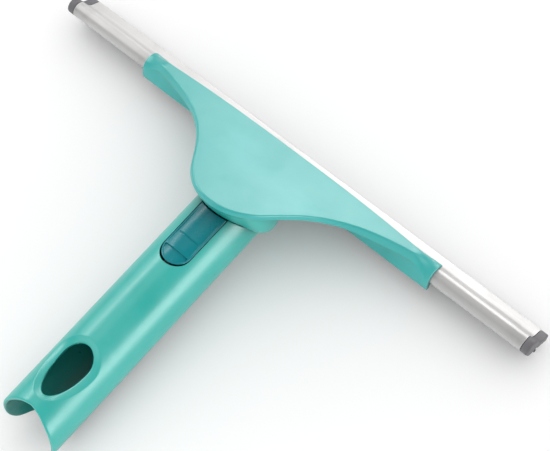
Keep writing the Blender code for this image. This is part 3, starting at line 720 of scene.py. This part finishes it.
combine(neck, turned(spigot, "y", (0, 0, 0), 160), "UNION", HANDLE)
bore = [(SPIGOT_BORE + 0.8, end - 3.0), (SPIGOT_BORE + 0.5, end + 0.0), (SPIGOT_BORE, end + 0.5), (SPIGOT_BORE, -9.0)]
combine(neck, turned(bore, "y", (0, 0, 0), 120), "DIFFERENCE", HANDLE)
slot_side = [(CATCH_Y0 - 1.2, 3.0), (seam_y(3.0) + 0.2, 3.0), (seam_y(20.0) + 0.2, 20.0), (CATCH_Y0 - 1.2, 20.0)]
combine(neck, prism(slot_side, -SLOT_W, SLOT_W, "x"), "DIFFERENCE", HANDLE)
combine(neck, rod_x(PIVOT_Y, PIVOT_Z, PIN_R + GAP, -30, 30), "DIFFERENCE", HANDLE)
finish(neck, "head", "neck_spigot", 30)

# -------------------------------------------------------------- neck screws
for sx, name in ((-1, "neck_screw_left"), (1, "neck_screw_right")):
    head = [(1.2, -11.0)] + [(3.3 + 0.6 * math.sin(a), -10.4 - 0.6 * math.cos(a) + 0.0)
                             for a in (math.pi / 2 * i / 6 for i in range(7))]
    head += [(3.9, -9.1), (3.82, -8.94), (3.7, -8.9), (1.3, -8.9)]
    shank = []
    for k in range(15):                      # thread: crests every 0.6 mm
        z = -8.6 + 0.3 * k
        shank.append((1.3 if k % 2 else 1.12, z))
    head += shank + [(0.7, -3.9), (0.5, -3.7)]
    screw = build(name + "_steel", turned(head, "z", (sx * SCREW_X, SCREW_S, 0), 64), HEAD, STEEL)
    for turn in (0, 1):
        w, h = ((2.2, 0.45), (0.45, 2.2))[turn]
        combine(screw, block(sx * SCREW_X - w, sx * SCREW_X + w, SCREW_S - h, SCREW_S + h, -12, -9.7),
                "DIFFERENCE", HEAD)
    finish(screw, "head", name, 30)


# -------------------------------------------------------------- handle tube
MOUTH_LINE = smooth_line(MOUTH, 8)


def mouth_y(phi):
    a = abs(math.degrees(phi)) % 360
    a = min(a, 360 - a)
    for (a0, y0), (a1, y1) in zip(MOUTH_LINE, MOUTH_LINE[1:]):
        if a <= a1:
            return y0 + (y1 - y0) * (a - a0) / (a1 - a0)
    return MOUTH_LINE[-1][1]


PATCH = math.radians(54)
COLS = [-PATCH + 2 * PATCH * i / 40 for i in range(41)]
REST = [PATCH + (2 * math.pi - 2 * PATCH) * i / 88 for i in range(1, 88)]
SLOT_HALF = BTN_W + 0.35
Y_SLOT, Y_HOLE0, Y_HOLE1 = -54.0, -91.0, -129.4
NEAR = [0.0, 0.05, 0.18, 0.42, 0.9]
N_A, N_B, N_C, N_D = 36, 26, 30, 5


def line_a(y0, y1):
    """Rows from the seam down: dense by the end face, then even."""
    out = [y0 - d for d in NEAR]
    return out + [out[-1] + (y1 - out[-1]) * k / N_A for k in range(1, N_A + 1)]


def line_d(y0, y1):
    near = [y1 + d for d in NEAR[::-1]]
    return [y0 + (near[0] - y0) * k / N_D for k in range(1, N_D + 1)] + near[1:]


DISH, DISH_SLOPE = 2.7, 0.68


def dish(d):
    """How far the wall dips this far from the hanging hole: a straight slope with a soft crease at its foot."""
    t = d / DISH
    if t > 1.3:
        return 0.0
    return DISH * DISH_SLOPE * max(0.0, (math.sqrt((1 - t) ** 2 + 0.003) + (1 - t) - 0.0025) / 2)


EGG = [(HOLE_W * math.cos(a), HOLE_Y + (HOLE_UP if math.sin(a) > 0 else HOLE_DOWN) * math.sin(a))
       for a in (2 * math.pi * i / 240 for i in range(240))]


def tube_seam(z):
    return seam_y(z) + 0.18                     # the light gap to the neck is finer than the fitting gap


def tube_surface(R, outer):
    """Vertices and faces of the tube's outer or inner skin, with the same numbering for both."""
    verts, faces = [], []
    info = []                                   # (angle, Y) of each vertex

    def add(phi, y):
        verts.append(None)
        info.append((phi, y))
        return len(info) - 1

    # rows that run straight round the tube
    def ys(phi):
        z = R * math.cos(phi)
        s0, m0 = tube_seam(z), mouth_y(phi)
        y1 = max(Y_HOLE1, m0 + 3.0)             # the rows close up where the underside is cut back
        return (line_a(s0, Y_SLOT) + [Y_SLOT + (Y_HOLE0 - Y_SLOT) * k / N_B for k in range(1, N_B + 1)]
                + [Y_HOLE0 + (y1 - Y_HOLE0) * k / N_C for k in range(1, N_C + 1)]
                + line_d(y1, m0))
    ra = len(NEAR) + N_A - 1                   # last row of the slot zone
    rb, rc = ra + N_B, ra + N_B + N_C
    rows = len(ys(0.0))
    cols = COLS + REST
    grid = [[None] * len(cols) for _ in range(rows)]
    last = len(COLS) - 1
    for c, phi in enumerate(cols):
        for r, y in enumerate(ys(phi)):
            inside = 0 < c < last and (r < ra or rb < r < rc)
            if not inside:
                grid[r][c] = add(phi, y)
    for r in range(rows - 1):
        for c in range(len(cols)):
            c2 = (c + 1) % len(cols)
            if c < last and (r < ra or rb <= r < rc):
                continue
            faces.append((grid[r][c], grid[r][c2], grid[r + 1][c2], grid[r + 1][c]))

    def strip(loops, closed):
        for k in range(len(loops) - 1):
            n = len(loops[k])
            for i in range(n if closed else n - 1):
                j = (i + 1) % n
                faces.append((loops[k][i], loops[k][j], loops[k + 1][j], loops[k + 1][i]))

    # slot patch, from the slot's edge out to the grid
    edge_path = [grid[r][0] for r in range(ra + 1)] + [grid[ra][c] for c in range(1, last + 1)]
    edge_path += [grid[r][last] for r in range(ra - 1, -1, -1)]
    cy = BTN_ROUND_Y - 0.6

    def slot_curve(off):
        w = SLOT_HALF + off
        phi = math.asin(w / R)
        y0 = tube_seam(R * math.cos(phi))
        rel = NEAR + [0.0] * N_A
        first = y0 - NEAR[-1]
        straight = first - cy
        total = straight + w * math.pi / 4
        left = [(-w, y0 - dd) for dd in NEAR]
        for k in range(1, N_A + 1):
            t = total * k / N_A
            if t <= straight:
                left.append((-w, first - t))
            else:
                a = (t - straight) / w
                left.append((-w * math.cos(a), cy - w * math.sin(a)))
        n = len(COLS) - 1
        bottom = [(-w * math.cos(math.pi / 4 + math.pi / 2 * k / n), cy - w * math.sin(math.pi / 4 + math.pi / 2 * k / n))
                  for k in range(1, n)]
        right_ = [(-x, y) for x, y in left[::-1]]
        return left + bottom + right_
    offs = [0.0, 0.05, 0.16, 0.36, 0.7, 1.3, 2.1]
    loops = []
    for off in offs:
        loops.append([add(math.asin(x / R), y) for x, y in slot_curve(off)])
    base = [info[i] for i in loops[-1]]
    outerp = [info[i] for i in edge_path]
    for t in (0.25, 0.5, 0.75):
        loops.append([add(a[0] + (b[0] - a[0]) * t, a[1] + (b[1] - a[1]) * t) for a, b in zip(base, outerp)])
    # rows on the seam stay on the seam
    for lp in loops:
        for idx, dd in list(zip(range(len(NEAR)), NEAR)):
            for i in (idx, len(lp) - 1 - idx):
                phi = info[lp[i]][0]
                info[lp[i]] = (phi, tube_seam(R * math.cos(phi)) - dd)
    loops.append(edge_path)
    strip(loops, False)
    slot_edge = loops[0]

    # hole patch
    path = [grid[rb][c] for c in range(last)] + [grid[r][last] for r in range(rb, rc)]
    path += [grid[rc][c] for c in range(last, 0, -1)] + [grid[r][0] for r in range(rc, rb, -1)]
    n1, n2 = last, rc - rb
    angles = [math.radians(132 - 84 * k / n1) for k in range(n1)]
    angles += [math.radians(48 - 88 * k / n2) for k in range(n2)]
    angles += [math.radians(-40 - 100 * k / n1) for k in range(n1)]
    angles += [math.radians(-140 - 88 * k / n2) for k in range(n2)]

    def egg_curve(off):
        out = []
        for a in angles:
            h = HOLE_UP if math.sin(a) > 0 else HOLE_DOWN
            x, y = HOLE_W * math.cos(a), HOLE_Y + h * math.sin(a)
            nx, ny = h * math.cos(a), HOLE_W * math.sin(a)
            ln = math.hypot(nx, ny)
            out.append((x + nx / ln * off, y + ny / ln * off))
        return out
    loops = []
    for off in (0.0, 0.05, 0.16, 0.36, 0.62, 1.0, 1.5, 2.0, 2.35, 2.55, 2.7, 2.85, 3.05):
        off *= 1.0 if outer else 0.5
        loops.append([add(math.asin(max(-0.99, min(0.99, x / R))), y) for x, y in egg_curve(off)])
    base = [info[i] for i in loops[-1]]
    outerp = [info[i] for i in path]
    for t in (0.34, 0.67):
        loops.append([add(a[0] + (b[0] - a[0]) * t, a[1] + (b[1] - a[1]) * t) for a, b in zip(base, outerp)])
    loops.append(path)
    strip(loops, True)
    hole_edge = loops[0]
    seam_row = None

    # heights
    def slot_dist(x, y):
        if y > cy:
            return abs(abs(x) - SLOT_HALF)
        return abs(math.hypot(x, y - cy) - SLOT_HALF)

    for i, (phi, y) in enumerate(info):
        x, z = R * math.sin(phi), R * math.cos(phi)
        top = math.cos(phi) > 0
        u = R * phi if phi < math.pi else R * (phi - 2 * math.pi)
        d_seam = tube_seam(z) - y
        d_mouth = y - mouth_y(phi)
        d_slot = slot_dist(x, y) if top and y > Y_SLOT - 1 else 99.0
        d_hole = 99.0
        if top and abs(x) < 15.6 and -132.5 < y < -88:
            d_hole = min(math.hypot(x - ex, y - ey) for ex, ey in EGG)
        if outer:
            # distances measured over the curved wall are a little longer than across it
            r = R - drop(d_seam, 0.30) - drop(d_slot, 0.30) - drop(d_mouth, 0.75)
            if d_hole < 30:
                r -= drop(d_hole, 0.5) + dish(d_hole)
        else:
            r = R + drop(d_seam, 0.25) + drop(d_slot, 0.25) + drop(d_mouth, 0.55) + drop(d_hole, 0.25)
            r -= dish(d_hole)
        verts[i] = (r * math.sin(phi), y, r * math.cos(phi))
    return verts, faces


vo, fo = tube_surface(TUBE_R, True)
vi, fi = tube_surface(TUBE_BORE, False)
n_half = len(vo)
faces = list(fo) + [tuple(n_half + i for i in f[::-1]) for f in fi]
count = {}
for f in fo:
    for a, b in zip(f, f[1:] + f[:1]):
        count[(min(a, b), max(a, b))] = count.get((min(a, b), max(a, b)), 0) + 1
for f in fo:
    for a, b in zip(f, f[1:] + f[:1]):
        if count[(min(a, b), max(a, b))] == 1:
            faces.append((b, a, n_half + a, n_half + b))
tube = build("handle_tube_moulding", (vo + vi, faces), HANDLE, GREEN)
# inner-skin vertices get weight 1, which the material paints in shade
painted_shade_weight = tube.data.attributes.new("inside", "FLOAT", "POINT")
for i in range(2 * n_half):
    painted_shade_weight.data[i].value = 1.0 if i >= n_half else 0.0
combine(tube, block(-3.6, 3.6, CATCH_Y0, CATCH_Y1, 10.0, 15.1), "DIFFERENCE", HANDLE)
finish(tube, "handle", "handle_tube", 60)

# ---------------------------------------------------------- release button
BTN_R = TUBE_R - 0.1


def btn_half(y):
    if y >= BTN_ROUND_Y:
        return BTN_W
    return math.sqrt(max(BTN_W ** 2 - (BTN_ROUND_Y - y) ** 2, 0.0))


def btn_edge(x, y):
    """Distance to the button's outline, without its head end."""
    if y >= BTN_ROUND_Y:
        return BTN_W - abs(x)
    return BTN_W - math.hypot(x, y - BTN_ROUND_Y)


def btn_top(x, y, d_end):
    z = math.sqrt(BTN_R ** 2 - x * x)
    d = btn_edge(x, y)
    scoop = max(0.0, 0.95 * (1 - ((y + 29.0) / 13.0) ** 2)) if y > -42 else 0.0
    inner = ease(0.55, 1.25, d)
    z -= scoop * inner * (0.55 + 0.45 * math.cos(math.pi * x / 2 / BTN_W))
    # flat thumb land and its two fine lines, then the recess before the round end
    z -= 0.28 * inner * math.exp(-((y + 32.3) / 0.30) ** 2) * ease(5.9, 5.3, abs(x)) if abs(x) < 5.9 else 0.0
    step = ease(-40.3, -40.75, y)
    z -= 0.62 * step * inner * (1 - 0.75 * ease(-41.0, -46.0, y))
    z += 0.10 * inner * math.exp(-((y + 40.1) / 0.3) ** 2)
    z -= drop(d, 0.35) + drop(d_end, 0.35)
    return z


def ease_down(a, b, x):
    return ease(a, b, x)


rows_y = [0.0, 0.05, 0.16, 0.36, 0.7, 1.1]
y_round = []
start_y = -20.0
yy = start_y
while yy > BTN_ROUND_Y:
    y_round.append(yy)
    yy -= 0.16 if -33.4 < yy < -31.2 else 0.45
k_arc = [math.pi / 2 * i / 44 for i in range(1, 44)]
y_arc = [BTN_ROUND_Y - BTN_W * math.sin(a) for a in k_arc]
y_arc += [BTN_ROUND_Y - t for t in (1.0, 1.08, 1.16, 0.9, 0.8, 0.7)]
y_arc = sorted(set(round(v, 3) for v in y_arc), reverse=True)
NX = 64
xs_unit = [-math.cos(math.pi * i / NX) for i in range(NX + 1)]      # dense at both sides
grid_top, grid_bottom = [], []


def btn_row(make_y, half_w, at_end):
    row, low = [], []
    for u in xs_unit:
        x = u * half_w
        y, d_end = make_y(x)
        row.append((x, y, btn_top(x, y, d_end)))
        low.append((x, y if not at_end else None, BTN_UNDER))
    return row, low


for k, dd in enumerate(rows_y + [None] * 4 + y_round + y_arc):
    if dd is not None and k < len(rows_y):
        def make_y(x, dd=dd):
            z = math.sqrt(BTN_R ** 2 - x * x)
            return seam_y(z) - 0.12 - dd, dd
        w = BTN_W
    elif dd is None:
        share = (k - len(rows_y) + 1) / 5

        def make_y(x, share=share):
            z = math.sqrt(BTN_R ** 2 - x * x)
            a = seam_y(z) - 0.12 - rows_y[-1]
            return a + (start_y - a) * share, 9.0
        w = BTN_W
    else:
        def make_y(x, dd=dd):
            return dd, 9.0
        w = btn_half(dd)
    row = []
    for u in xs_unit:
        x = u * w
        y, d_end = make_y(x)
        row.append((x, y, btn_top(x, y, d_end)))
    grid_top.append(row)
tip = (0.0, BTN_ROUND_Y - BTN_W, btn_top(0.0, BTN_ROUND_Y - BTN_W, 9.0))
verts, faces = [], []
nr, ncol = len(grid_top), NX + 1
for row in grid_top:
    verts += row
off = len(verts)
under_y = seam_y(BTN_UNDER) - 0.12
for r, row in enumerate(grid_top):
    for x, y, z in row:
        # the head end is cut on the slant, so the underside reaches further under the plate
        if y > start_y:
            top_y = seam_y(math.sqrt(BTN_R ** 2 - x * x)) - 0.12
            y = start_y + (y - start_y) * (under_y - start_y) / (top_y - start_y)
        verts.append((x, y, BTN_UNDER))
tip_top, tip_low = len(verts), len(verts) + 1
verts += [tip, (tip[0], tip[1], BTN_UNDER)]
for r in range(nr - 1):
    for c in range(NX):
        a, b = r * ncol + c, (r + 1) * ncol + c
        faces.append((a, a + 1, b + 1, b))
        faces.append((off + b, off + b + 1, off + a + 1, off + a))
    for c in (0, NX):
        a, b = r * ncol + c, (r + 1) * ncol + c
        faces.append((a, b, off + b, off + a))
for c in range(NX):
    faces.append((c + 1, c, off + c, off + c + 1))
    a = (nr - 1) * ncol + c
    faces.append((a, a + 1, tip_top))
    faces.append((off + a + 1, off + a, tip_low))
for c in (0, NX):
    a = (nr - 1) * ncol + c
    faces.append((a, tip_top, tip_low, off + a))
button = build("release_button_moulding", (verts, faces), HANDLE, PETROL)
boss = [(PIVOT_Y + 2.4 * math.cos(a), PIVOT_Z + 2.4 * math.sin(a))
        for a in (math.pi + math.pi * i / 32 for i in range(33))]
boss += [(PIVOT_Y + 2.4, 12.2), (PIVOT_Y - 2.4, 12.2)]
combine(button, prism(boss, -7.4, 7.4, "x"), "UNION", HANDLE)
combine(button, rod_x(PIVOT_Y, PIVOT_Z, PIN_R + GAP, -20, 20), "DIFFERENCE", HANDLE)
finish(button, "button", "release_button", 40)

pin = build("button_pivot_pin_steel",
            turned([(PIN_R - 0.25, -PIN_HALF), (PIN_R, -PIN_HALF + 0.25), (PIN_R, PIN_HALF - 0.25),
                    (PIN_R - 0.25, PIN_HALF)], "x", (0, PIVOT_Y, PIVOT_Z), 48), HANDLE, STEEL)
finish(pin, "head", "button_pivot_pin")

# -------------------------------------------------------------- latch spring
strip = [(-54.0, -10.3), (-40.0, -10.2), (-27.0, -10.1)]
strip += [(-27.0 + 8.5 * math.sin(a), -1.6 - 8.5 * math.cos(a))
          for a in (math.radians(150 * i / 40) for i in range(1, 41))]
strip += [(-30.0, 7.6), (-38.0, 9.2), (-46.0, 10.2), (-51.0, 10.3), (-52.0, 10.9), (-52.0, 14.7)]
left_, right_ = [], []
for i, p in enumerate(strip):
    a, b = Vector(strip[max(i - 1, 0)]), Vector(strip[min(i + 1, len(strip) - 1)])
    v = (b - a).normalized()
    m = Vector((-v.y, v.x)) * 0.35
    left_.append(tuple(Vector(p) + m))
    right_.append(tuple(Vector(p) - m))
outline = left_ + right_[::-1]
rings = [[(x, p[0], p[1]) for p in shrunk(outline, e)]
         for x, e in ((-3.0, 0.1), (-2.9, 0.0), (2.9, 0.0), (3.0, 0.1))]
spring = build("latch_spring_strip", loft(rings), HANDLE, STEEL)
finish(spring, "head", "latch_spring")

# -------------------------------------------------------------------- stage
floor_mat = bpy.data.materials.new("studio_floor")
nt, N, L, P = nodes_of(floor_mat)
co = N.new("ShaderNodeTexCoord").outputs["Object"]
haze = noise_node(N, L, co, 3.0, 2.0, 0.5)
L.new(ramp(N, L, haze, [(0.3, (0.93, 0.93, 0.93, 1)), (0.7, (0.95, 0.95, 0.95, 1))]), P.inputs["Base Color"])
P.inputs["Roughness"].default_value = 0.9
P.inputs["Specular IOR Level"].default_value = 0.1
me = bpy.data.meshes.new("floor")
me.from_pydata([(-6, -6, 0), (6, -6, 0), (6, 6, 0), (-6, 6, 0)], [], [(0, 1, 2, 3)])
me.materials.append(floor_mat)
floor = bpy.data.objects.new("floor", me)
bpy.context.scene.collection.objects.link(floor)
floor.location.z = -0.0005

world = bpy.data.worlds.new("studio")
bpy.context.scene.world = world
world.use_nodes = True
world.node_tree.nodes["Background"].inputs[0].default_value = (1.0, 1.0, 1.0, 1.0)
world.node_tree.nodes["Background"].inputs[1].default_value = 1.12
world.cycles_visibility.glossy = False      # the sheen comes from the soft boxes below

CENTRE = Vector((0.0, 0.0, 0.03))


def panel(name, direction, dist, width, height, power, turn=0.0):
    """A soft box that faces the object from a direction in the handle's frame."""
    data = bpy.data.lights.new(name, "AREA")
    data.shape = "RECTANGLE"
    data.size, data.size_y = width, height
    data.energy = power
    o = bpy.data.objects.new(name, data)
    bpy.context.scene.collection.objects.link(o)
    back = (HANDLE.to_3x3() @ Vector(direction)).normalized()
    o.location = CENTRE + back * dist
    side = Vector((0, 1, 0)).cross(back).normalized()
    up = back.cross(side)
    o.matrix_world = Matrix.Translation(o.location) @ Matrix((side, up, back)).transposed().to_4x4() \
        @ Matrix.Rotation(math.radians(turn), 4, "Z")
    o.visible_camera = False
    o.visible_diffuse = False
    return o


def watts(radiance, width, height):
    return radiance * math.pi * width * height


panel("strip_left", (-0.73, 0.235, 0.64), 0.9, 0.08, 1.0, watts(13.0, 0.08, 1.0))
panel("box_left", (-0.90, 0.235, 0.42), 1.0, 0.45, 1.0, watts(1.5, 0.45, 1.0))
panel("box_right", (0.966, 0.235, 0.24), 0.9, 0.50, 1.0, watts(5.2, 0.50, 1.0))
panel("box_far", (-0.14, 0.95, 0.25), 1.2, 0.9, 0.6, watts(4.8, 0.9, 0.6))
panel("box_front", (-0.342, -0.82, 0.42), 1.2, 0.9, 0.6, watts(1.1, 0.9, 0.6))
panel("box_over", (-0.25, 0.10, 0.95), 1.2, 0.5, 0.8, watts(0.8, 0.5, 0.8))

# ------------------------------------------------------------------- camera
az, el, roll = math.radians(55.5), math.radians(65.5), math.radians(-15.3)
back = Vector((math.sin(az) * math.cos(el), -math.cos(az) * math.cos(el), math.sin(el)))
xr = Vector((0, 0, 1)).cross(back).normalized()
yu = back.cross(xr)
cx = math.cos(roll) * xr + math.sin(roll) * yu
cy_ = -math.sin(roll) * xr + math.cos(roll) * yu
place = Matrix((cx, cy_, back)).transposed().to_4x4()
place.translation = (Vector((20.7, 0, 0)) + back * 681.5) * MM
cam_data = bpy.data.cameras.new("camera")
cam_data.lens = 1499 / 550 * 36
cam_data.sensor_width = 36
cam_data.sensor_fit = "HORIZONTAL"
cam_data.clip_start, cam_data.clip_end = 0.02, 50
cam = bpy.data.objects.new("camera", cam_data)
bpy.context.scene.collection.objects.link(cam)
cam.matrix_world = HANDLE @ place
bpy.context.scene.camera = cam
bpy.context.scene.view_settings.view_transform = "Standard"

bpy.context.view_layer.update()
